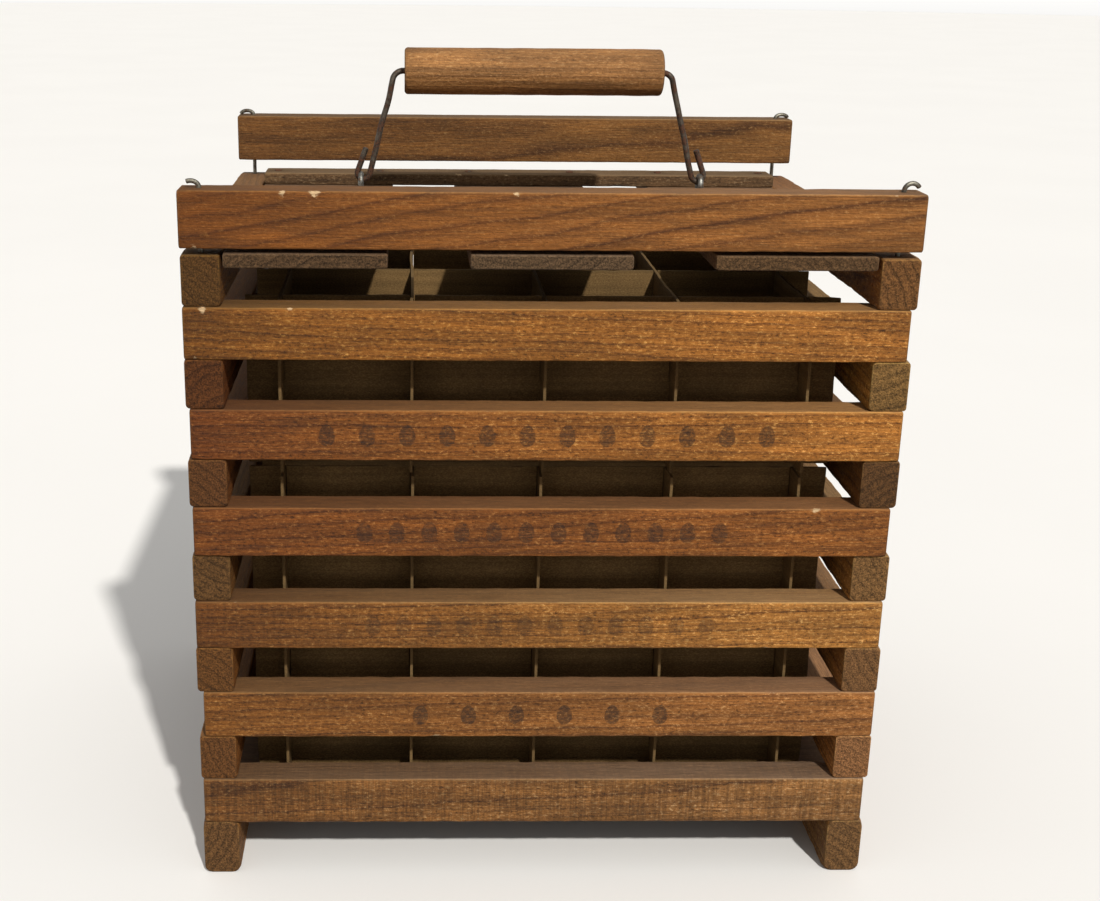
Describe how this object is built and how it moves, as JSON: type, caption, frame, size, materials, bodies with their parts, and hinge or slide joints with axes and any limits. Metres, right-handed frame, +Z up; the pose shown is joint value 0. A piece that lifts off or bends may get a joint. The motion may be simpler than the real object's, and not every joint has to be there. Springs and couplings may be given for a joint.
{
  "type": "slatted wooden egg carrier crate",
  "caption": "Hand-carried slatted wooden crate on corner wire rods, with loose top rails, a boarded sliding lid, a wire bail with turned grip, and slotted cardboard egg filler.",
  "frame": {"origin": "on the floor, under the middle of the crate", "axes": "+X to the right along the front, front face towards -Y, +Z up"},
  "size_m": [0.305, 0.252, 0.3652],
  "materials": {
    "slat_wood": "old stained softwood, oiled and worn",
    "lid_wood": "bare weathered softwood",
    "grip_wood": "turned hardwood, hand-polished",
    "galvanised_wire": "dull zinc",
    "bail_steel": "dark, lightly rusted wire",
    "eye_steel": "dull zinc",
    "nail_steel": "dark, rusted",
    "filler_board": "matt grey-brown chipboard"
  },
  "bodies": {
    "crate": {"left_foot_rail": "slat_wood", "right_foot_rail": "slat_wood", "front_slat_1": "slat_wood", "back_slat_1": "slat_wood", "left_slat_1": "slat_wood", "right_slat_1": "slat_wood", "front_slat_2": "slat_wood", "back_slat_2": "slat_wood", "left_slat_2": "slat_wood", "right_slat_2": "slat_wood", "front_slat_3": "slat_wood", "back_slat_3": "slat_wood", "left_slat_3": "slat_wood", "right_slat_3": "slat_wood", "front_slat_4": "slat_wood", "back_slat_4": "slat_wood", "left_slat_4": "slat_wood", "right_slat_4": "slat_wood", "front_slat_5": "slat_wood", "back_slat_5": "slat_wood", "left_slat_5": "slat_wood", "right_slat_5": "slat_wood", "front_slat_6": "slat_wood", "back_slat_6": "slat_wood", "left_slat_6": "slat_wood", "right_slat_6": "slat_wood", "front_left_rod": "galvanised_wire", "front_right_rod": "galvanised_wire", "back_left_rod": "galvanised_wire", "back_right_rod": "galvanised_wire", "bottom_board_front": "lid_wood", "bottom_board_middle": "lid_wood", "bottom_board_back": "lid_wood", "bottom_nails": "nail_steel", "filler_1_long_panels": "filler_board", "filler_1_cross_panels": "filler_board", "filler_1_flat": "filler_board", "filler_2_long_panels": "filler_board", "filler_2_cross_panels": "filler_board", "filler_2_flat": "filler_board", "filler_3_long_panels": "filler_board", "filler_3_cross_panels": "filler_board", "filler_3_flat": "filler_board"},
    "front_rail": {"front_top_rail": "slat_wood"},
    "back_rail": {"back_top_rail": "slat_wood"},
    "lid": {"lid_board_left": "lid_wood", "lid_board_middle": "lid_wood", "lid_board_right": "lid_wood", "lid_cleat_front": "lid_wood", "lid_cleat_middle": "lid_wood", "lid_cleat_back": "lid_wood", "lid_nails": "nail_steel", "left_screw_eye": "eye_steel", "right_screw_eye": "eye_steel"},
    "bail": {"bail_wire": "bail_steel"},
    "handgrip": {"grip": "grip_wood"}
  },
  "joints": [
    {"name": "front_rail_lift", "type": "slide", "parent": "crate", "child": "front_rail", "axis": [0, 0, 1], "range_m": [-0.0017, 0]},
    {"name": "back_rail_lift", "type": "slide", "parent": "crate", "child": "back_rail", "axis": [0, 0, 1], "range_m": [-0.0075, 0]},
    {"name": "lid_slide", "type": "slide", "parent": "crate", "child": "lid", "axis": [0, 1, 0], "range_m": [0, 0.095]},
    {"name": "bail_swing", "type": "hinge", "parent": "lid", "child": "bail", "pos_m": [0, 0, 0.303], "axis": [1, 0, 0], "range_deg": [-91, 91]},
    {"name": "grip_turn", "type": "hinge", "parent": "bail", "child": "handgrip", "pos_m": [0, 0, 0.3543], "axis": [1, 0, 0], "continuous": true}
  ]
}
